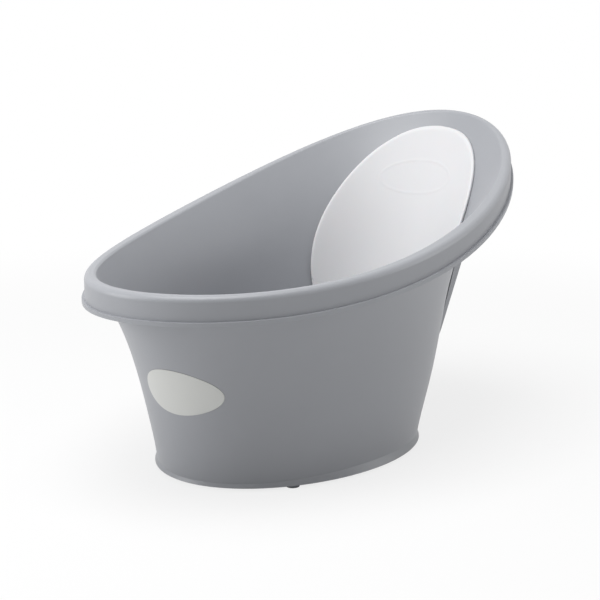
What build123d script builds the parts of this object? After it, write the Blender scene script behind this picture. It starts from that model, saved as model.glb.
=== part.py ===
from build123d import *
import math
import os

# A one-piece moulded baby bathtub: an egg-shaped bowl that rises towards the head end (+X),
# with a soft backrest, a drain plug, rubber feet and a leg that folds out under the head end.
# Millimetres. +X is the head end, +Z is up, and the floor under the feet is Z = 0.

# ---- rim -------------------------------------------------------------------------------
RIM_HALF_LENGTH = 310.0      # outside of the skirt, along X
RIM_HALF_WIDTH = 185.0       # outside of the skirt, along Y
RIM_MID_HEIGHT = 245.0       # top of the rim half way along
RIM_TILT = 70.0              # straight rise from the middle to the head end
RIM_SWEEP = 35.5             # rise of both ends above that straight line
RIM_THICKNESS = 3.0          # flange and skirt
SKIRT_DEPTH = 23.6           # from the top of the rim to the lip
LIP_THICKNESS = 4.0
LIP_PROUD = 3.0              # how far the lip stands out of the skirt
RIM_OUTER_ROUNDING = 5.5
RIM_INNER_ROUNDING = 3.0

# ---- bowl ------------------------------------------------------------------------------
WALL = 3.0                   # measured level, about 2.6 square to the sloping wall
FLOOR_THICKNESS = 3.0
FLOOR_HEIGHT = 14.0          # underside of the floor
FLOOR_CORNER_RADIUS = 18.0
BASE_CLEARANCE = 3.0         # the feet hold the base ring this far up
BASE_FLARE = 2.6             # the bottom edge turns out by this much
BASE_FLARE_HEIGHT = 10.0

# Stations of the bowl's outside: height, reach to the head end, reach to the foot end,
# half width, and egg factor (positive makes the head end the narrower one).
STATIONS = (
    (BASE_CLEARANCE, 116.5, 218.5, 127.3, -0.050),
    (45.0, 141.0, 230.5, 129.5, -0.044),
    (100.0, 168.5, 247.5, 135.5, -0.026),
    (160.0, 199.0, 272.5, 142.0, 0.024),
    (212.0, 226.0, 300.5, 158.5, 0.074),
    (286.0, 267.0, 338.5, 205.0, 0.102),
    (364.0, 311.0, 378.5, 249.0, 0.120),
)

# ---- seat bump and drain ---------------------------------------------------------------
BUMP_X = -10.0
BUMP_HALF_LENGTH = 36.0
BUMP_HALF_WIDTH = 52.0
BUMP_HEIGHT = 40.0
DRAIN_X = -150.0
DRAIN_RADIUS = 17.0
COLLAR_WALL = 3.0
COLLAR_DROP = 6.0
PLUG_CLEARANCE = 0.1
PLUG_CAP_RADIUS = 23.0
PLUG_CAP_THICKNESS = 3.0
PLUG_CAP_EDGE = 1.2
PLUG_CORE_RADIUS = 13.5      # the plug is hollow from below
PLUG_CORE_ROOF = 1.0         # rubber left under the cap, above the hollow
TAB_WIDTH = 22.0
TAB_HEIGHT = 16.0
TAB_THICKNESS = 4.0
TAB_HOLE_RADIUS = 4.5
TAB_ROOT = 1.0               # how far the tab runs down into the cap
SEAT_GAP = 0.05              # between faces of different pieces that rest on each other

# ---- rubber feet -----------------------------------------------------------------------
FOOT_RADIUS = 7.0
FOOT_INSET = 6.0             # foot centre from the outside of the base ring
FOOT_ANGLE = 45.0            # feet stand on the diagonals of the base
FOOT_STEM_RADIUS = 3.2
FOOT_STEM_LENGTH = 6.0
FOOT_HOLE_LENGTH = 7.0
FOOT_BOSS_RADIUS = 7.5
FOOT_EDGE = 0.8
PRESS_GAP = 0.02             # radial gap of a pushed-in stem or pin

# ---- backrest pad ----------------------------------------------------------------------
PAD_TOP = 328.5
PAD_BOTTOM = 47.0
PAD_HALF_WIDTH = 93.5
PAD_EGG = 0.12               # positive makes the top the broader end
PAD_FULLNESS = 2.2           # 2 is an ellipse
PAD_THICKNESS = 5.0
PAD_GAP = 0.3                # room for the glue film behind the pad

# ---- badge plate on the foot end -------------------------------------------------------
BADGE_Y = -6.0
BADGE_HEIGHT = 103.0
BADGE_HALF_WIDTH = 44.0
BADGE_HALF_HEIGHT = 24.0
BADGE_EGG = 0.14
BADGE_DEPTH = 1.0            # depth of its seat in the wall
BADGE_PROUD = 0.4
BADGE_GAP = 0.15

# ---- fold-out leg ----------------------------------------------------------------------
LEG_PIVOT_X = 298.9
LEG_PIVOT_Z = 285.0
LEG_LEAN = 34.0              # degrees from upright when it is folded in
LEG_HALF_WIDTH = 88.0
LEG_FACE_RADIUS = 110.0      # the face is curved across its width
LEG_FACE_OFFSET = 9.0        # outer face from the pivot axis
LEG_SKIN = 2.6
LEG_TOE_RADIUS = 50.0        # rounding of the two lower corners
LEG_SHOULDER_RADIUS = 24.0
LEG_WALL_GAP = 2.0           # folded leg to the bowl along the middle
LEG_BACK_RADIUS = 118.0      # the side walls are cut back to a cylinder this size
LEG_SHOULDER_BACK = 170.0    # and near the rim, where the bowl is broader, to this one
LEG_SHOULDER_LEAN = 37.0     # lean of that second cylinder, degrees from upright
LEG_TOP_DROP = 10.0          # top of the side walls below the pivot, along the leg
LEG_BACK_REACH = 60.0        # how far back the side walls may go before they meet the bowl
LEG_RIB_THICKNESS = 2.4
LEG_RIB_Y = 50.0
KNUCKLE_RADIUS = 8.0
KNUCKLE_HALF_WIDTH = 34.0
NECK_LENGTH = 22.0           # the web that joins the knuckle to the leg
PIN_RADIUS = 3.0
PIN_HEAD_RADIUS = 5.0
PIN_HEAD_THICKNESS = 2.0
PIN_DEPTH = 18.0             # how far a pin reaches into the knuckle
PIN_RUNNING_GAP = 0.06
EAR_THICKNESS = 5.0
EAR_RADIUS = 8.0
EAR_GAP = 0.5
EAR_REACH = 60.0             # how far an ear runs back to the bowl and up to the rim
GRIP_ANGLE = 19.0            # grips sit this far round the curve of the toe, both ways
GRIP_WIDTH = 24.0
GRIP_THICKNESS = 4.2
GRIP_FACE_INSET = 0.5        # from the leg's curved face
GRIP_SOLE = 1.5              # how far a grip stands out of the toe
GRIP_CORNER = 1.0
ROOT_WIDTH = 18.0
ROOT_THICKNESS = 2.4
ROOT_DEPTH = 2.4

FAR = 420.0                  # further than any piece reaches
RIM_OVERRUN = 40.0           # the rim's parabola is drawn this far past both ends
OUTLINE_POINTS = 16
ON_FACE = 0.05               # an edge this near to a surface lies in it
SAMPLE_SHARES = (0.0, 0.3, 0.6)     # where along an edge that is tested


# ---- shared shapes ---------------------------------------------------------------------
def signed_power(value, power):
    """value raised to a power, keeping its sign."""
    return math.copysign(abs(value) ** power, value)


def egg_outline(half_length, half_width, egg, fullness=2.0):
    """Points of a closed egg about the origin, long axis along the first coordinate."""
    points = []
    for step in range(OUTLINE_POINTS):
        angle = 2.0 * math.pi * step / OUTLINE_POINTS
        along = signed_power(math.cos(angle), 2.0 / fullness)
        across = signed_power(math.sin(angle), 2.0 / fullness)
        points.append((half_length * along, half_width * across * (1.0 - egg * along)))
    return points


def station_wire(station, offset, height):
    """The bowl's level outline at a station, moved out by offset and set at a height."""
    _, head, foot, half_width, egg = station
    middle = (head - foot) / 2.0
    outline = egg_outline((head + foot) / 2.0 + offset, half_width + offset, egg)
    points = [Vector(middle + along, across, height) for along, across in outline]
    return Wire([Edge.make_spline(points, periodic=True)])


def bowl_loft(offset):
    """The outside of the bowl moved out by offset, as a solid from the base to above the rim."""
    return Solid.make_loft([station_wire(station, offset, station[0]) for station in STATIONS])


def rim_height(x, drop=0.0):
    """Height of the rim's top surface above the floor, less drop."""
    u = x / RIM_HALF_LENGTH
    return RIM_MID_HEIGHT + RIM_TILT * u + RIM_SWEEP * u ** 2 - drop


def rim_curve(drop):
    """Side view of the rim's top surface moved down by drop: one parabola."""
    reach = RIM_HALF_LENGTH + RIM_OVERRUN
    crown = RIM_MID_HEIGHT - RIM_SWEEP * (reach / RIM_HALF_LENGTH) ** 2 - drop
    heights = (rim_height(-reach, drop), crown, rim_height(reach, drop))
    return Edge.make_bezier(*[Vector(x, -FAR, z) for x, z in zip((-reach, 0.0, reach), heights)])


def band(drop_top, drop_bottom=None):
    """Everything between two copies of the rim's top surface, or all that is below one."""
    top = rim_curve(drop_top)
    if drop_bottom is None:
        floor_corners = [Vector(top.position_at(end).X, -FAR, 0) for end in (0, 1)]
        lower = Edge.make_line(*floor_corners)
    else:
        lower = rim_curve(drop_bottom)
    sides = [Edge.make_line(top.position_at(end), lower.position_at(end)) for end in (0, 1)]
    return extrude(Face(Wire([top, lower, *sides])), amount=2.0 * FAR, dir=(0, 1, 0))


def ellipse_column(inset):
    """An upright elliptical column inside the skirt's outline by inset."""
    return extrude(Ellipse(RIM_HALF_LENGTH - inset, RIM_HALF_WIDTH - inset), amount=FAR)


def slab(bottom, top):
    """Everything between two heights."""
    box = Box(2 * FAR, 2 * FAR, top - bottom, align=(Align.CENTER, Align.CENTER, Align.MIN))
    return Pos(0, 0, bottom) * box


def upright(radius, bottom, top, place=(0.0, 0.0)):
    """An upright cylinder between two heights."""
    cylinder = Cylinder(radius, top - bottom, align=(Align.CENTER, Align.CENTER, Align.MIN))
    return Pos(place[0], place[1], bottom) * cylinder


def leg_plane():
    """Plane through the leg's pivot: x across the tub, y up the folded leg, z outwards."""
    lean = math.radians(LEG_LEAN)
    outwards = Vector(math.cos(lean), 0, -math.sin(lean))
    return Plane(origin=(LEG_PIVOT_X, 0, LEG_PIVOT_Z), x_dir=(0, 1, 0), z_dir=outwards)


def sideways_cylinder(radius, length, y_from):
    """A cylinder about the leg's pivot axis that starts at y_from and runs towards +Y."""
    start = Plane(origin=(LEG_PIVOT_X, y_from, LEG_PIVOT_Z), x_dir=(1, 0, 0), z_dir=(0, 1, 0))
    return extrude(start * Circle(radius), amount=length)


# ---- tub shell -------------------------------------------------------------------------
FLOOR_TOP = FLOOR_HEIGHT + FLOOR_THICKNESS
DRAIN_PLACE = (DRAIN_X, 0.0)
EAR_INNER_Y = KNUCKLE_HALF_WIDTH + EAR_GAP


def cavity():
    """The space inside the bowl, round the seat bump, with a rounded corner at the floor."""
    space = bowl_loft(-WALL) & slab(FLOOR_TOP, FAR)
    corner = space.edges().filter_by_position(Axis.Z, FLOOR_TOP - ON_FACE, FLOOR_TOP + ON_FACE)
    return fillet(corner, FLOOR_CORNER_RADIUS) - mound(0.0)


def underside():
    """The space under the floor, round the feet's bosses and the drain's collar."""
    space = (bowl_loft(-WALL) & slab(0.0, FLOOR_HEIGHT)) + mound(FLOOR_THICKNESS)
    bosses = [upright(FOOT_BOSS_RADIUS, 0.0, FLOOR_HEIGHT, place) for place in foot_places().values()]
    collar = upright(DRAIN_RADIUS + COLLAR_WALL, FLOOR_HEIGHT - COLLAR_DROP, FLOOR_HEIGHT, DRAIN_PLACE)
    return space - [*bosses, collar]


def base_flare():
    """The bottom edge of the base, turned out all round."""
    bottom = station_wire(STATIONS[0], BASE_FLARE, BASE_CLEARANCE)
    top = station_wire(STATIONS[0], -WALL / 2.0, BASE_CLEARANCE + BASE_FLARE_HEIGHT)
    return Solid.make_loft([bottom, top])


def foot_places():
    """Centres of the four rubber feet on the base."""
    _, head, foot, half_width, egg = STATIONS[0]
    places = {}
    for end, turn in (("front", 180.0 - FOOT_ANGLE), ("rear", FOOT_ANGLE)):
        for side, sign in (("left", 1.0), ("right", -1.0)):
            angle = math.radians(turn)
            along = ((head + foot) / 2.0 - FOOT_INSET) * math.cos(angle)
            across = (half_width - FOOT_INSET) * math.sin(angle) * (1.0 - egg * math.cos(angle))
            places[f"{end}_{side}"] = ((head - foot) / 2.0 + along, sign * across)
    return places


def mound(shrink):
    """The seat bump as a dome on the floor's underside, made smaller all round by shrink."""
    height = BUMP_HEIGHT + FLOOR_THICKNESS
    sizes = (BUMP_HALF_LENGTH - shrink, BUMP_HALF_WIDTH - shrink, height - shrink)
    return Pos(BUMP_X, 0, FLOOR_HEIGHT) * scale(Sphere(1.0, arc_size1=0), by=sizes)


def ear(y_from):
    """A plate under the rim that carries one of the leg's pins."""
    pivot = leg_plane().origin
    lowest = pivot - leg_plane().y_dir * EAR_RADIUS
    root = lowest - leg_plane().z_dir * EAR_REACH
    outline = Polyline(
        (root.X, root.Z),
        (lowest.X, lowest.Z),
        (pivot.X + EAR_RADIUS, pivot.Z),
        (pivot.X + EAR_RADIUS, pivot.Z + EAR_REACH),
        (root.X, pivot.Z + EAR_REACH),
        close=True,
    )
    face = Plane(origin=(0, y_from, 0), x_dir=(1, 0, 0), z_dir=(0, -1, 0)) * make_face(outline)
    plate = extrude(face, amount=-EAR_THICKNESS) + sideways_cylinder(EAR_RADIUS, EAR_THICKNESS, y_from)
    plate = plate - sideways_cylinder(PIN_RADIUS + PRESS_GAP, EAR_THICKNESS, y_from)
    return plate & band(RIM_THICKNESS / 2.0) & ellipse_column(RIM_THICKNESS / 2.0)


def badge_prism(grow):
    """The badge's outline, grown by grow, as a bar through the foot end's wall."""
    outline = egg_outline(BADGE_HALF_WIDTH + grow, BADGE_HALF_HEIGHT + grow, -BADGE_EGG)
    points = [Vector(-FAR, BADGE_Y + along, BADGE_HEIGHT + across) for along, across in outline]
    face = Face(Wire([Edge.make_spline(points, periodic=True)]))
    return extrude(face, amount=FAR, dir=(1, 0, 0))


def on_rim_top(edge):
    """True for an edge that lies in the rim's top surface."""
    places = [edge.position_at(share) for share in SAMPLE_SHARES]
    return all(abs(place.Z - rim_height(place.X)) < ON_FACE for place in places)


def rounded_rim(shell):
    """The shell with the inner and outer corners of its rim rounded."""
    loops = shell.edges().filter_by(on_rim_top).sort_by(SortBy.LENGTH)
    shell = fillet(loops[0], RIM_INNER_ROUNDING)
    loops = shell.edges().filter_by(on_rim_top).sort_by(SortBy.LENGTH)
    return fillet(loops[-1], RIM_OUTER_ROUNDING)


def rim():
    """Flange, skirt and lip as one cap that is hollow from below."""
    skirt_bottom = SKIRT_DEPTH + LIP_THICKNESS
    cap = ellipse_column(0.0) & band(0.0, skirt_bottom - LIP_THICKNESS / 2.0)
    cap = cap + (ellipse_column(-LIP_PROUD) & band(SKIRT_DEPTH, skirt_bottom))
    return cap - (ellipse_column(RIM_THICKNESS) & band(RIM_THICKNESS, skirt_bottom + RIM_OVERRUN))


def tub_shell():
    """The whole moulding: bowl, rim, base, seat bump, drain and the ears for the leg."""
    shell = rim() + (bowl_loft(0.0) & band(RIM_THICKNESS / 2.0))
    shell = shell + [base_flare(), ear(EAR_INNER_Y), ear(-EAR_INNER_Y - EAR_THICKNESS)]
    shell = rounded_rim(shell - cavity())
    shell = shell - underside()
    holes = [upright(DRAIN_RADIUS, 0.0, FLOOR_TOP + FLOOR_THICKNESS, DRAIN_PLACE)]
    hole_top = BASE_CLEARANCE + FOOT_HOLE_LENGTH
    for place in foot_places().values():
        holes.append(upright(FOOT_STEM_RADIUS + PRESS_GAP, 0.0, hole_top, place))
    return shell - [*holes, badge_prism(BADGE_GAP) - bowl_loft(-BADGE_DEPTH)]


# ---- small pieces on the shell ---------------------------------------------------------
def rubber_foot(place):
    """A foot with a stem that is pushed into its boss under the base."""
    disc = upright(FOOT_RADIUS, 0.0, BASE_CLEARANCE, place)
    disc = fillet(disc.edges().group_by(Axis.Z)[0], FOOT_EDGE)
    stem_top = BASE_CLEARANCE + FOOT_STEM_LENGTH
    return disc + upright(FOOT_STEM_RADIUS, BASE_CLEARANCE, stem_top, place)


def backrest_pad():
    """The soft egg-shaped pad that lines the head end."""
    half_height = (PAD_TOP - PAD_BOTTOM) / 2.0
    middle = (PAD_TOP + PAD_BOTTOM) / 2.0
    outline = egg_outline(half_height, PAD_HALF_WIDTH, -PAD_EGG, PAD_FULLNESS)
    points = [Vector(0, across, middle + along) for along, across in outline]
    prism = extrude(Face(Wire([Edge.make_spline(points, periodic=True)])), amount=FAR, dir=(1, 0, 0))
    back = -WALL - PAD_GAP
    return (bowl_loft(back) & prism) - bowl_loft(back - PAD_THICKNESS)


def front_badge():
    """The plain egg-shaped plate let into the foot end."""
    return (bowl_loft(BADGE_PROUD) & badge_prism(0.0)) - bowl_loft(SEAT_GAP - BADGE_DEPTH)


def drain_plug():
    """A soft plug with a pull tab, pushed down through the drain's collar."""
    cap_bottom = FLOOR_TOP + SEAT_GAP
    cap_top = cap_bottom + PLUG_CAP_THICKNESS
    cap = upright(PLUG_CAP_RADIUS, cap_bottom, cap_top, DRAIN_PLACE)
    cap = fillet(cap.edges().group_by(Axis.Z)[-1], PLUG_CAP_EDGE)
    plug = cap + upright(DRAIN_RADIUS - PLUG_CLEARANCE, FLOOR_HEIGHT - COLLAR_DROP, cap_bottom, DRAIN_PLACE)
    plug = plug - upright(PLUG_CORE_RADIUS, 0.0, cap_bottom - PLUG_CORE_ROOF, DRAIN_PLACE)
    upper = Plane(origin=(DRAIN_X, TAB_THICKNESS / 2.0, cap_top), x_dir=(1, 0, 0), z_dir=(0, -1, 0))
    round_radius = TAB_WIDTH / 2.0
    straight = TAB_HEIGHT - round_radius
    tab = Pos(0, (straight - TAB_ROOT) / 2.0) * Rectangle(TAB_WIDTH, straight + TAB_ROOT)
    tab = tab + Pos(0, straight) * Circle(round_radius) - Pos(0, straight) * Circle(TAB_HOLE_RADIUS)
    return plug + extrude(upper * tab, amount=TAB_THICKNESS)


# ---- fold-out leg ----------------------------------------------------------------------
LEG_LENGTH = LEG_PIVOT_Z - GRIP_SOLE      # pivot to toe, so that the open leg stands on its grips


def in_leg(width, top, bottom, back, front, y=0.0):
    """A block in the folded leg's own directions: heights and depths from its pivot."""
    middle = Pos(y, (top + bottom) / 2.0, (back + front) / 2.0)
    return leg_plane() * middle * Box(width, top - bottom, front - back)


def leg_block(inset):
    """The leg's outline under its curved face, as a thick block made smaller by inset."""
    top = -LEG_TOP_DROP - inset
    bottom = inset - LEG_LENGTH
    sheet = Pos(0, (top + bottom) / 2.0) * Rectangle(2.0 * (LEG_HALF_WIDTH - inset), top - bottom)
    sheet = fillet(sheet.vertices().group_by(Axis.Y)[0], LEG_TOE_RADIUS - inset)
    sheet = fillet(sheet.vertices().group_by(Axis.Y)[-1], LEG_SHOULDER_RADIUS - inset)
    block = extrude(leg_plane() * Pos(0, 0, -LEG_BACK_REACH) * sheet, amount=LEG_BACK_REACH + LEG_FACE_OFFSET)
    return block & leg_barrel(inset)


def leg_barrel(inset):
    """The long cylinder whose outside is the leg's curved face, made smaller by inset."""
    axis = leg_plane() * Pos(0, 0, LEG_FACE_OFFSET - LEG_FACE_RADIUS)
    return axis * Cylinder(LEG_FACE_RADIUS - inset, 2 * FAR, rotation=(90, 0, 0))


def tilted_cylinder(radius, low, high):
    """A long cylinder whose head-end side passes through two points of the side view."""
    along = (Vector(high[0], 0, high[1]) - Vector(low[0], 0, low[1])).normalized()
    outwards = Vector(along.Z, 0, -along.X)
    axis = Plane(origin=Vector(low[0], 0, low[1]) - outwards * radius, z_dir=along)
    return axis * Cylinder(radius, 4.0 * FAR)


def bowl_clearance():
    """Two cylinders that stay just outside the bowl's head end; the leg is cut back to them."""
    low = (STATIONS[1][1] + LEG_WALL_GAP, STATIONS[1][0])
    high = (STATIONS[-2][1] + LEG_WALL_GAP, STATIONS[-2][0])
    slope = math.tan(math.radians(LEG_SHOULDER_LEAN))
    below = (high[0] - slope * (high[1] - low[1]), low[1])
    return [tilted_cylinder(LEG_BACK_RADIUS, low, high), tilted_cylinder(LEG_SHOULDER_BACK, below, high)]


def fold_leg():
    """The leg: a curved skin with side walls, ribs and a knuckle, open towards the bowl."""
    leg = leg_block(0.0) - leg_block(LEG_SKIN)
    ribs = [in_leg(LEG_RIB_THICKNESS, 0, -LEG_LENGTH, -LEG_BACK_REACH, LEG_FACE_OFFSET, y)
            for y in (-LEG_RIB_Y, 0.0, LEG_RIB_Y)]
    leg = leg + [rib & leg_block(LEG_SKIN / 2.0) for rib in ribs]
    leg = leg - bowl_clearance()
    neck = in_leg(2.0 * KNUCKLE_HALF_WIDTH, 0, -NECK_LENGTH, -KNUCKLE_RADIUS, LEG_FACE_OFFSET)
    leg = leg + (neck & leg_barrel(0.0))
    leg = leg + sideways_cylinder(KNUCKLE_RADIUS, 2.0 * KNUCKLE_HALF_WIDTH, -KNUCKLE_HALF_WIDTH)
    bore = sideways_cylinder(PIN_RADIUS + PIN_RUNNING_GAP, 2.0 * KNUCKLE_HALF_WIDTH, -KNUCKLE_HALF_WIDTH)
    return leg - [bore, *[grip_root(side, SEAT_GAP) for side in (1.0, -1.0)]]


def toe_block(side, width, top, bottom, thickness):
    """A block set square to the toe's curve, between two heights along the leg."""
    axis = leg_plane() * Pos(0, 0, LEG_FACE_OFFSET - LEG_FACE_RADIUS) * Rot(0, side * GRIP_ANGLE, 0)
    depth = LEG_FACE_RADIUS - GRIP_FACE_INSET - GRIP_THICKNESS / 2.0
    return axis * Pos(0, (top + bottom) / 2.0, depth) * Box(width, top - bottom, thickness)


def grip_root(side, grow=0.0):
    """The tongue of a grip, or the slot in the toe that it is pushed into."""
    return toe_block(side, ROOT_WIDTH + 2.0 * grow, ROOT_DEPTH + grow - LEG_LENGTH,
                     -LEG_LENGTH - GRIP_SOLE / 2.0, ROOT_THICKNESS + 2.0 * grow)


def leg_grip(side):
    """A rubber grip under the toe that stands on the floor when the leg is open."""
    sole = toe_block(side, GRIP_WIDTH, -LEG_LENGTH - SEAT_GAP, -LEG_LENGTH - GRIP_SOLE, GRIP_THICKNESS)
    upright_edges = sole.edges().filter_by(Axis((0, 0, 0), leg_plane().y_dir))
    sole = fillet(upright_edges, GRIP_CORNER)
    return sole + grip_root(side)


def hinge_pin(side):
    """A headed pin that is pressed into an ear and turns in the leg's knuckle."""
    shank_start = KNUCKLE_HALF_WIDTH - PIN_DEPTH
    head_start = EAR_INNER_Y + EAR_THICKNESS + SEAT_GAP
    shank = sideways_cylinder(PIN_RADIUS, head_start - shank_start, shank_start)
    pin = shank + sideways_cylinder(PIN_HEAD_RADIUS, PIN_HEAD_THICKNESS, head_start)
    return pin if side > 0 else mirror(pin, about=Plane.XZ)


def main():
    """Build every piece and write one STEP file for each."""
    os.makedirs("parts", exist_ok=True)
    nodes = {
        "tub_shell": tub_shell(),
        "backrest_pad": backrest_pad(),
        "front_badge": front_badge(),
        "drain_plug": drain_plug(),
        "fold_leg": fold_leg(),
    }
    for side, sign in (("left", 1.0), ("right", -1.0)):
        nodes[f"leg_hinge_pin_{side}"] = hinge_pin(sign)
        nodes[f"leg_grip_{side}"] = leg_grip(sign)
    for name, place in foot_places().items():
        nodes[f"rubber_foot_{name}"] = rubber_foot(place)
    for name, piece in nodes.items():
        export_step(piece, f"parts/{name}.step")
        print(name, len(piece.solids()), round(piece.volume))


if __name__ == "__main__":
    main()
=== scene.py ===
"""Looks of the baby bathtub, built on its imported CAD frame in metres.

The rigid pieces keep their CAD meshes and get their finishes here. The soft
backrest pad is modelled here and stands for its CAD solid.
"""

import logging
import math
from dataclasses import dataclass
from enum import Enum

import bmesh
import bpy
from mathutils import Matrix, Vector
from mathutils.bvhtree import BVHTree

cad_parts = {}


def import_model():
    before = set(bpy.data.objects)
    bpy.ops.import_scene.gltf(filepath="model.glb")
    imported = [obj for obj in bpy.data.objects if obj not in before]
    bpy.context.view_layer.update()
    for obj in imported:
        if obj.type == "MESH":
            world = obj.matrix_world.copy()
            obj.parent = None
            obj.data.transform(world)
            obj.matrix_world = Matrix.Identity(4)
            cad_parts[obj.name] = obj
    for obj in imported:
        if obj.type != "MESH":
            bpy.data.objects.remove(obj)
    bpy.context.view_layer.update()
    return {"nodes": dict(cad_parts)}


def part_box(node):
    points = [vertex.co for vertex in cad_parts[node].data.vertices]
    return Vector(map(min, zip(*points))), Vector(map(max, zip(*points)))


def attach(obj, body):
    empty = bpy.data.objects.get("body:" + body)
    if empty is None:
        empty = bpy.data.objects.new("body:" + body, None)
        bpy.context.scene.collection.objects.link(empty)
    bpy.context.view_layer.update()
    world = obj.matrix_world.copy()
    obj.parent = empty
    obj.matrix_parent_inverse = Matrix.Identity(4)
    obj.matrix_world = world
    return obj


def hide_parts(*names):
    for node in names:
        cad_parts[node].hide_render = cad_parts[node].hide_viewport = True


LOG = logging.getLogger("bathtub")

# The sRGB curve: a straight foot up to the knee, then a power.
SRGB_KNEE = 0.04045
SRGB_FOOT_SLOPE = 12.92
SRGB_OFFSET = 0.055
SRGB_POWER = 2.4

# A Mix node has one set of sockets for each kind of data; these are colour's.
MIX_COLOUR_A = 6
MIX_COLOUR_B = 7
MIX_COLOUR_RESULT = 2

MERGE_DISTANCE = 1e-6
NEARLY_ZERO = 1e-9


class Slot(Enum):
    """The record's material slots."""

    TUB_PLASTIC = "tub_plastic"
    PAD_FOAM = "pad_foam"
    BADGE_PLASTIC = "badge_plastic"
    PLUG_RUBBER = "plug_rubber"
    LEG_PLASTIC = "leg_plastic"
    PIN_PLASTIC = "pin_plastic"
    GRIP_RUBBER = "grip_rubber"
    FOOT_RUBBER = "foot_rubber"


def linear_rgba(colour: str) -> tuple[float, float, float, float]:
    """Turn an sRGB hex colour into linear light.

    Args:
        colour: six hex digits after a hash sign.

    Returns:
        linear red, green, blue and an alpha of 1.
    """
    channels = [int(colour[i : i + 2], 16) / 255 for i in (1, 3, 5)]
    light = [
        channel / SRGB_FOOT_SLOPE
        if channel <= SRGB_KNEE
        else ((channel + SRGB_OFFSET) / (1 + SRGB_OFFSET)) ** SRGB_POWER
        for channel in channels
    ]
    return (*light, 1.0)


def add_node(
    tree: bpy.types.NodeTree,
    kind: str,
    settings: dict | None = None,
    links: dict | None = None,
) -> bpy.types.Node:
    """Add one shader node with its settings and links.

    Args:
        tree: the node tree that it goes in.
        kind: Blender's name for the type of node.
        settings: a value for each named property or input, or numbered input.
        links: the output socket that feeds each named or numbered input.

    Returns:
        the new node.
    """
    node = tree.nodes.new(kind)
    for name, value in (settings or {}).items():
        if isinstance(name, str) and hasattr(node, name):
            setattr(node, name, value)
        else:
            node.inputs[name].default_value = value
    for name, socket in (links or {}).items():
        tree.links.new(socket, node.inputs[name])
    return node


@dataclass(frozen=True)
class Finish:
    """A moulded surface: a slowly drifting colour, a fine grain and an uneven gloss.

    Sizes are in metres. The real grain is 0.05 to 0.2 mm, too fine to show, so
    each grain_size is drawn several times as coarse.
    """

    name: str
    colour: str
    drift_colour: str
    drift_size: float
    roughness: float
    roughness_spread: float
    grain_size: float
    grain_height: float
    ior: float
    sheen: float = 0.0
    subsurface: float = 0.0
    subsurface_depth: float = 0.002
    drift_detail: float = 3.0
    drift_harshness: float = 0.55
    grain_detail: float = 2.0
    grain_harshness: float = 0.5

    def material(self) -> bpy.types.Material:
        """Make the finish's node material.

        Returns:
            the material, with its patterns on Object coordinates.
        """
        made = bpy.data.materials.new(self.name)
        made.use_nodes = True
        tree = made.node_tree
        tree.nodes.clear()
        place = add_node(tree, "ShaderNodeTexCoord").outputs["Object"]
        drift = add_node(
            tree,
            "ShaderNodeTexNoise",
            {
                "Scale": 1 / self.drift_size,
                "Detail": self.drift_detail,
                "Roughness": self.drift_harshness,
            },
            {"Vector": place},
        )
        colour = add_node(
            tree,
            "ShaderNodeMix",
            {
                "data_type": "RGBA",
                MIX_COLOUR_A: linear_rgba(self.colour),
                MIX_COLOUR_B: linear_rgba(self.drift_colour),
            },
            {0: drift.outputs["Fac"]},
        )
        gloss = add_node(
            tree,
            "ShaderNodeMapRange",
            {
                "To Min": self.roughness - self.roughness_spread,
                "To Max": self.roughness + self.roughness_spread,
            },
            {"Value": drift.outputs["Fac"]},
        )
        grain = add_node(
            tree,
            "ShaderNodeTexNoise",
            {
                "Scale": 1 / self.grain_size,
                "Detail": self.grain_detail,
                "Roughness": self.grain_harshness,
            },
            {"Vector": place},
        )
        bump = add_node(
            tree,
            "ShaderNodeBump",
            {"Strength": 1.0, "Distance": self.grain_height},
            {"Height": grain.outputs["Fac"]},
        )
        shader = add_node(
            tree,
            "ShaderNodeBsdfPrincipled",
            {
                "IOR": self.ior,
                "Sheen Weight": self.sheen,
                "Subsurface Weight": self.subsurface,
                "Subsurface Scale": self.subsurface_depth,
            },
            {
                "Base Color": colour.outputs[MIX_COLOUR_RESULT],
                "Roughness": gloss.outputs["Result"],
                "Normal": bump.outputs["Normal"],
            },
        )
        add_node(
            tree, "ShaderNodeOutputMaterial", None, {"Surface": shader.outputs["BSDF"]}
        )
        return made


# Polypropylene, injection moulded against a finely etched tool: a satin
# surface with a soft, wide highlight and a grain too fine to see one by one.
TUB_FINISH = Finish(
    name="polypropylene_moulded_satin",
    colour="#999BA0",
    drift_colour="#9EA0A5",
    drift_size=0.09,
    roughness=0.42,
    roughness_spread=0.04,
    grain_size=0.0012,
    grain_height=0.00001,
    ior=1.49,
)

# The same polypropylene from a second tool, polished a little less.
LEG_FINISH = Finish(
    name="polypropylene_moulded_leg",
    colour="#97999E",
    drift_colour="#9B9DA2",
    drift_size=0.07,
    roughness=0.47,
    roughness_spread=0.04,
    grain_size=0.0012,
    grain_height=0.000012,
    ior=1.49,
)

# EVA foam, pressed to shape with a closed skin: pale, matt and slightly
# powdery, so light spreads in it and its dents read as soft shadows.
PAD_FINISH = Finish(
    name="eva_foam_pressed_skin",
    colour="#D3D3D5",
    drift_colour="#D6D6D8",
    drift_size=0.05,
    roughness=0.62,
    roughness_spread=0.05,
    grain_size=0.0016,
    grain_height=0.00003,
    ior=1.45,
    sheen=0.12,
    subsurface=0.05,
)

# ABS, moulded and left bare: a smooth plate, paler and a touch glossier
# than the wall that it sits in.
BADGE_FINISH = Finish(
    name="abs_moulded_plate",
    colour="#CDCECB",
    drift_colour="#D0D1CE",
    drift_size=0.03,
    roughness=0.36,
    roughness_spread=0.03,
    grain_size=0.0009,
    grain_height=0.000005,
    ior=1.52,
)

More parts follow.
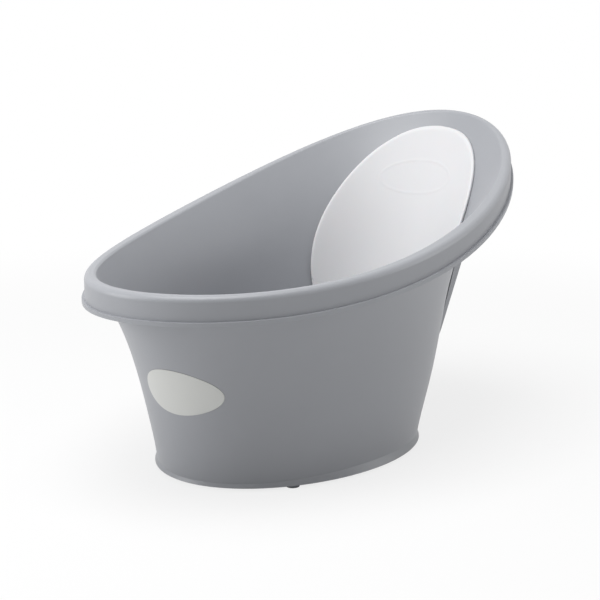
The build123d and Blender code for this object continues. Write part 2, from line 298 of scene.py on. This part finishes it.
# Silicone rubber, compression moulded: dull, with a faint dusty bloom.
PLUG_FINISH = Finish(
    name="silicone_rubber_moulded",
    colour="#8C8F95",
    drift_colour="#93969B",
    drift_size=0.012,
    roughness=0.6,
    roughness_spread=0.06,
    grain_size=0.0008,
    grain_height=0.00001,
    ior=1.41,
)

# Thermoplastic rubber, overmoulded: dark, dull and slightly grainy.
GRIP_FINISH = Finish(
    name="thermoplastic_rubber_overmoulded",
    colour="#55585D",
    drift_colour="#5C5F64",
    drift_size=0.01,
    roughness=0.7,
    roughness_spread=0.06,
    grain_size=0.0009,
    grain_height=0.00002,
    ior=1.5,
)

# The same rubber as a small pressed-in foot.
FOOT_FINISH = Finish(
    name="thermoplastic_rubber_foot",
    colour="#6A6D72",
    drift_colour="#707378",
    drift_size=0.008,
    roughness=0.66,
    roughness_spread=0.05,
    grain_size=0.0008,
    grain_height=0.000015,
    ior=1.5,
)

# Acetal, turned on a bar lathe: dense, smooth and slightly waxy.
PIN_FINISH = Finish(
    name="acetal_turned",
    colour="#B4B5B8",
    drift_colour="#B8B9BC",
    drift_size=0.006,
    roughness=0.32,
    roughness_spread=0.03,
    grain_size=0.0006,
    grain_height=0.000004,
    ior=1.48,
)


def dress(obj: bpy.types.Object, finish: Finish) -> None:
    """Give a piece its finish.

    Args:
        obj: the CAD node or modelled piece.
        finish: the finish of its whole surface.
    """
    made = bpy.data.materials.get(finish.name) or finish.material()
    obj.data.materials.clear()
    obj.data.materials.append(made)
    LOG.info("dressed %s in %s", obj.name, finish.name)


@dataclass
class Tub:
    """The one-piece moulded tub and what is fixed to it."""

    shell: str = "tub_shell"
    badge: str = "front_badge"
    feet: tuple[str, ...] = (
        "rubber_foot_front_left",
        "rubber_foot_front_right",
        "rubber_foot_rear_left",
        "rubber_foot_rear_right",
    )

    def dress(self, nodes: dict[str, bpy.types.Object]) -> None:
        """Give the shell, the badge and the feet their finishes.

        Args:
            nodes: the CAD nodes by name.
        """
        dress(nodes[self.shell], TUB_FINISH)
        dress(nodes[self.badge], BADGE_FINISH)
        for foot in self.feet:
            dress(nodes[foot], FOOT_FINISH)


@dataclass
class FoldingLeg:
    """The leg under the head end, with its two pins and two rubber grips."""

    leg: str = "fold_leg"
    pins: tuple[str, ...] = ("leg_hinge_pin_left", "leg_hinge_pin_right")
    grips: tuple[str, ...] = ("leg_grip_left", "leg_grip_right")

    def dress(self, nodes: dict[str, bpy.types.Object]) -> None:
        """Give the leg, its pins and its grips their finishes.

        Args:
            nodes: the CAD nodes by name.
        """
        dress(nodes[self.leg], LEG_FINISH)
        for pin in self.pins:
            dress(nodes[pin], PIN_FINISH)
        for grip in self.grips:
            dress(nodes[grip], GRIP_FINISH)


@dataclass
class DrainPlug:
    """The lift-out rubber plug in the floor."""

    plug: str = "drain_plug"

    def dress(self, nodes: dict[str, bpy.types.Object]) -> None:
        """Give the plug its finish.

        Args:
            nodes: the CAD nodes by name.
        """
        dress(nodes[self.plug], PLUG_FINISH)


@dataclass
class BackrestPad:
    """The soft foam pad on the head wall: a crowned sheet with a rolled edge.

    A grid is turned into the pad's egg outline, laid on the CAD solid's front,
    smoothed, crowned, rolled over at its edge and closed at its back. Sizes are
    in metres, and places on the pad are across (Y) and up (Z).
    """

    node: str = "backrest_pad"
    name: str = "backrest_pad_foam"
    body: str = "tub"
    columns: int = 150
    rows: int = 210
    egg: float = 0.12  # how much broader the top is than the middle
    fullness: float = 2.2  # 2 is an ellipse
    widest: float = 1.006  # the egg's greatest half width, from its taper
    margin: float = 0.0004  # kept inside the CAD solid all round
    start_gap: float = 0.02  # rays start this far in front of the solid
    pull: float = 0.0005  # share of the way in that a missing ray is moved
    aside: float = 0.0037  # off the middle, so that no ray stays on a seam
    least_depth: float = 0.0042  # a shallower hit is on the solid's edge
    smoothing_rounds: int = 8
    smoothing_factor: float = 0.5
    crown: float = 0.0012
    edge_roll: float = 0.0050
    edge_drop: float = 0.0034
    oval_centre: tuple[float, float] = (0.006, 0.268)
    oval_half: tuple[float, float] = (0.046, 0.0195)
    oval_ridge: float = 0.0017  # half the width of the raised line
    oval_height: float = 0.00035
    fill: float = 0.9

    def build(self, nodes: dict[str, bpy.types.Object]) -> bpy.types.Object:
        """Model the pad over its CAD solid.

        Args:
            nodes: the CAD nodes by name.

        Returns:
            the pad, riding on the tub in its place.
        """
        solid = self._surface(nodes[self.node])
        low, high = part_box(self.node)
        middle = (low + high) / 2
        half_width = (high.y - low.y) / 2 / self.widest - self.margin
        half_height = (high.z - low.z) / 2 - self.margin
        mesh = bmesh.new()
        bmesh.ops.create_grid(
            mesh, x_segments=self.columns, y_segments=self.rows, size=1
        )
        to_edge = mesh.verts.layers.float.new("to_edge")
        depth = mesh.verts.layers.float.new("depth")
        for vert in mesh.verts:
            across, up, share = self._outline_place(vert.co.x, vert.co.y)
            y = middle.y + across * half_width
            z = middle.z + up * half_height
            place = Vector((low.x - self.start_gap, y, z))
            vert.co, vert[depth] = self._faces(solid, place, middle)
            out = math.hypot(y - middle.y, z - middle.z)
            vert[to_edge] = out / share - out if share > 0 else high.z - middle.z
        self._smooth(mesh)
        for vert in mesh.verts:
            proud = self._raise(vert.co, vert[to_edge], middle)
            vert[depth] += proud
            vert.co.x -= proud
        self._close(mesh, depth)
        return self._finish(mesh)

    def _surface(self, node: bpy.types.Object) -> BVHTree:
        """Make a ray-casting tree of a merged copy of the CAD solid.

        Args:
            node: the CAD node, which is left as it is.

        Returns:
            the tree.
        """
        copy = bmesh.new()
        copy.from_mesh(node.data)
        bmesh.ops.remove_doubles(copy, verts=copy.verts, dist=MERGE_DISTANCE)
        tree = BVHTree.FromBMesh(copy)
        copy.free()
        return tree

    def _outline_place(self, u: float, v: float) -> tuple[float, float, float]:
        """Turn a place on the square grid into one inside the egg outline.

        Args:
            u: across the grid, from -1 to 1.
            v: up the grid, from -1 to 1.

        Returns:
            the places across and up, and the share of the way to the edge.
        """
        across = u * math.sqrt(1 - v * v / 2)
        up = v * math.sqrt(1 - u * u / 2)
        share = math.hypot(across, up)
        if share < NEARLY_ZERO:
            return 0.0, 0.0, 0.0
        powers = [abs(part / share) ** self.fullness for part in (across, up)]
        fuller = sum(powers) ** (-1 / self.fullness)
        across, up = across * fuller, up * fuller
        return across * (1 + self.egg * up), up, share

    def _faces(
        self, solid: BVHTree, place: Vector, middle: Vector
    ) -> tuple[Vector, float]:
        """Find the CAD pad's front, and how deep the pad is behind it.

        Args:
            solid: the CAD pad's ray-casting tree.
            place: a point in the bowl in front of the pad, which is pulled in
                towards the middle while it misses the pad or grazes its edge.
            middle: the middle of the pad.

        Returns:
            the point on the front, and the depth along X.
        """
        ahead = Vector((1, 0, 0))
        while True:
            front = solid.ray_cast(place, ahead)[0]
            if front is not None:
                back = solid.ray_cast(front + ahead * self.pull, ahead)[0]
                if back is not None and back.x - front.x > self.least_depth:
                    return front, back.x - front.x
            place.y += (middle.y + self.aside - place.y) * self.pull
            place.z += (middle.z + self.aside - place.z) * self.pull

    def _smooth(self, mesh: bmesh.types.BMesh) -> None:
        """Even out the CAD mesh's small facets, and leave the outline alone.

        Args:
            mesh: the pad's front.
        """
        inside = [vert for vert in mesh.verts if not vert.is_boundary]
        for _ in range(self.smoothing_rounds):
            bmesh.ops.smooth_vert(
                mesh, verts=inside, factor=self.smoothing_factor, use_axis_x=True
            )

    def _raise(self, place: Vector, to_edge: float, middle: Vector) -> float:
        """How far a place stands towards the bowl from the smoothed front.

        Args:
            place: the place on the front.
            to_edge: its distance from the edge.
            middle: the middle of the pad.

        Returns:
            crown and raised oval, less the rolled edge, in metres.
        """
        out = math.hypot(place.y - middle.y, place.z - middle.z)
        inward = to_edge / (to_edge + out + NEARLY_ZERO)
        height = self.crown * (1 - (1 - inward) ** 2)
        if to_edge < self.edge_roll:
            rolled = 1 - to_edge / self.edge_roll
            height -= self.edge_drop * (1 - math.sqrt(max(0.0, 1 - rolled * rolled)))
        off_line = self._off_oval(place) / self.oval_ridge
        if off_line < 1:
            height += self.oval_height * (1 + math.cos(math.pi * off_line)) / 2
        return height

    def _off_oval(self, place: Vector) -> float:
        """How far a place is from the oval's line, along the way from its centre."""
        across = place.y - self.oval_centre[0]
        up = place.z - self.oval_centre[1]
        ring = math.hypot(across / self.oval_half[0], up / self.oval_half[1])
        return abs(ring - 1) * math.hypot(across, up) / max(ring, NEARLY_ZERO)

    def _close(self, mesh: bmesh.types.BMesh, depth: bmesh.types.BMLayerItem) -> None:
        """Extrude the front to the wall side and close the pad.

        Args:
            mesh: the pad's front.
            depth: the layer that says how deep the pad is behind each place.
        """
        grown = bmesh.ops.extrude_face_region(mesh, geom=mesh.faces[:])["geom"]
        for vert in (item for item in grown if isinstance(item, bmesh.types.BMVert)):
            vert.co.x += vert[depth] - self.margin
        bmesh.ops.recalc_face_normals(mesh, faces=mesh.faces)

    def _finish(self, mesh: bmesh.types.BMesh) -> bpy.types.Object:
        """Turn the mesh into the placed and dressed pad, and hide its CAD solid.

        Args:
            mesh: the closed pad, which is freed.

        Returns:
            the pad's object.
        """
        for face in mesh.faces:
            face.smooth = True
        data = bpy.data.meshes.new(self.name)
        mesh.to_mesh(data)
        mesh.free()
        pad = bpy.data.objects.new(self.name, data)
        bpy.context.scene.collection.objects.link(pad)
        dress(pad, PAD_FINISH)
        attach(pad, self.body)
        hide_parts(self.node)
        LOG.info("built %s with %d faces", pad.name, len(data.polygons))
        return pad


@dataclass(frozen=True)
class SoftBox:
    """One soft lamp: where it stands, what it looks at, its side and its watts."""

    name: str
    place: tuple[float, float, float]
    target: tuple[float, float, float]
    side: float
    watts: float

    def build(self) -> None:
        """Put the lamp in the scene, turned to its target."""
        data = bpy.data.lights.new(self.name, "AREA")
        data.shape, data.size, data.energy = "SQUARE", self.side, self.watts
        lamp = bpy.data.objects.new(self.name, data)
        lamp.location = self.place
        aim = Vector(self.target) - Vector(self.place)
        lamp.rotation_euler = aim.to_track_quat("-Z", "Y").to_euler()
        bpy.context.scene.collection.objects.link(lamp)


@dataclass
class Studio:
    """The plain pale floor, the soft lamps, the white surround and the camera.

    Lengths are in metres, the lens and sensor in millimetres, angles in degrees.
    """

    floor_half: float = 12.0
    floor_colour: str = "#E4E4E4"
    floor_glow: float = 0.8  # the floor's own white near the object
    floor_near: float = 0.45  # up to this radius, in metres
    floor_far: float = 1.5  # from this radius on, it is all its own white
    surround: float = 0.21
    azimuth: float = -56.962
    elevation: float = 10.491
    distance: float = 1.5523
    target: tuple[float, float, float] = (0.0, 0.0, 0.170)
    lens: float = 84.35
    sensor: float = 36.0
    shift: tuple[float, float] = (-0.0225, -0.0247)
    lamps: tuple[SoftBox, ...] = (
        SoftBox("lamp_overhead", (-0.5, 0.05, 2.5), (0.0, 0.0, 0.2), 1.8, 62.0),
        SoftBox("lamp_left", (-1.3, 1.3, 0.7), (0.0, 0.0, 0.15), 0.9, 14.0),
        SoftBox("lamp_right", (1.1, -1.5, 0.6), (0.1, 0.0, 0.15), 0.8, 6.5),
    )

    def build(self) -> None:
        """Make the whole studio."""
        self._floor()
        self._world()
        self._camera()
        for lamp in self.lamps:
            lamp.build()
        LOG.info("built the studio with %d lamps", len(self.lamps))

    def _floor(self) -> None:
        """Lay the floor, which keeps the object's shadow."""
        mesh = bmesh.new()
        bmesh.ops.create_grid(mesh, x_segments=1, y_segments=1, size=self.floor_half)
        data = bpy.data.meshes.new("studio_floor")
        mesh.to_mesh(data)
        mesh.free()
        floor = bpy.data.objects.new("studio_floor", data)
        bpy.context.scene.collection.objects.link(floor)
        data.materials.append(self._floor_material())

    def _floor_material(self) -> bpy.types.Material:
        """Make the matt white floor, part of whose white is its own to the camera.

        Returns:
            the floor's material.
        """
        made = bpy.data.materials.new("studio_floor_paint")
        made.use_nodes = True
        tree = made.node_tree
        tree.nodes.clear()
        paint = add_node(
            tree,
            "ShaderNodeBsdfDiffuse",
            {"Color": linear_rgba(self.floor_colour)},
        )
        glow = add_node(tree, "ShaderNodeEmission", {"Strength": 1.0})
        place = add_node(tree, "ShaderNodeTexCoord").outputs["Object"]
        away = add_node(
            tree, "ShaderNodeVectorMath", {"operation": "LENGTH"}, {0: place}
        ).outputs["Value"]
        glow_share = add_node(
            tree,
            "ShaderNodeMapRange",
            {
                "interpolation_type": "SMOOTHSTEP",
                "From Min": self.floor_near,
                "From Max": self.floor_far,
                "To Min": self.floor_glow,
                "To Max": 1.0,
            },
            {"Value": away},
        ).outputs["Result"]
        share = add_node(
            tree,
            "ShaderNodeMath",
            {"operation": "MULTIPLY"},
            {0: self._seen(tree), 1: glow_share},
        )
        mixed = add_node(
            tree,
            "ShaderNodeMixShader",
            None,
            {0: share.outputs[0], 1: paint.outputs[0], 2: glow.outputs[0]},
        )
        add_node(tree, "ShaderNodeOutputMaterial", None, {"Surface": mixed.outputs[0]})
        return made

    def _seen(self, tree: bpy.types.NodeTree) -> bpy.types.NodeSocket:
        """Find out which rays see the studio and are not lit by it.

        Args:
            tree: the node tree that asks.

        Returns:
            the socket that is 1 for camera, mirror and see-through rays.
        """
        path = add_node(tree, "ShaderNodeLightPath")
        straight = add_node(
            tree,
            "ShaderNodeMath",
            {"operation": "MAXIMUM"},
            {0: path.outputs["Is Camera Ray"], 1: path.outputs["Is Glossy Ray"]},
        )
        return add_node(
            tree,
            "ShaderNodeMath",
            {"operation": "MAXIMUM"},
            {0: straight.outputs[0], 1: path.outputs["Is Transmission Ray"]},
        ).outputs[0]

    def _world(self) -> None:
        """Surround the scene with white, which lights it at its own level."""
        world = bpy.data.worlds.new("studio_surround")
        world.use_nodes = True
        tree = world.node_tree
        tree.nodes.clear()
        light = add_node(tree, "ShaderNodeBackground", {"Strength": self.surround})
        white = add_node(tree, "ShaderNodeBackground", {"Strength": 1.0})
        for background in (light, white):
            background.inputs["Color"].default_value = (1.0, 1.0, 1.0, 1.0)
        mixed = add_node(
            tree,
            "ShaderNodeMixShader",
            None,
            {0: self._seen(tree), 1: light.outputs[0], 2: white.outputs[0]},
        )
        add_node(tree, "ShaderNodeOutputWorld", None, {"Surface": mixed.outputs[0]})
        bpy.context.scene.world = world

    def _camera(self) -> None:
        """Set up the camera at its distance from the target."""
        turn, lift = math.radians(self.azimuth), math.radians(self.elevation)
        back = Vector(
            (
                math.sin(turn) * math.cos(lift),
                -math.cos(turn) * math.cos(lift),
                math.sin(lift),
            )
        )
        data = bpy.data.cameras.new("studio_camera")
        data.lens, data.sensor_width = self.lens, self.sensor
        data.shift_x, data.shift_y = self.shift
        camera = bpy.data.objects.new("studio_camera", data)
        camera.location = Vector(self.target) + back * self.distance
        camera.rotation_euler = (-back).to_track_quat("-Z", "Y").to_euler()
        bpy.context.scene.collection.objects.link(camera)
        bpy.context.scene.camera = camera


def main() -> None:
    """Build the looks piece by piece on the CAD frame."""
    logging.basicConfig(level=logging.INFO, format="%(message)s")
    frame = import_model()
    bpy.context.scene.view_settings.view_transform = "Standard"
    nodes = frame["nodes"]
    Tub().dress(nodes)
    FoldingLeg().dress(nodes)
    DrainPlug().dress(nodes)
    BackrestPad().build(nodes)
    Studio().build()


if __name__ == "__main__":
    main()
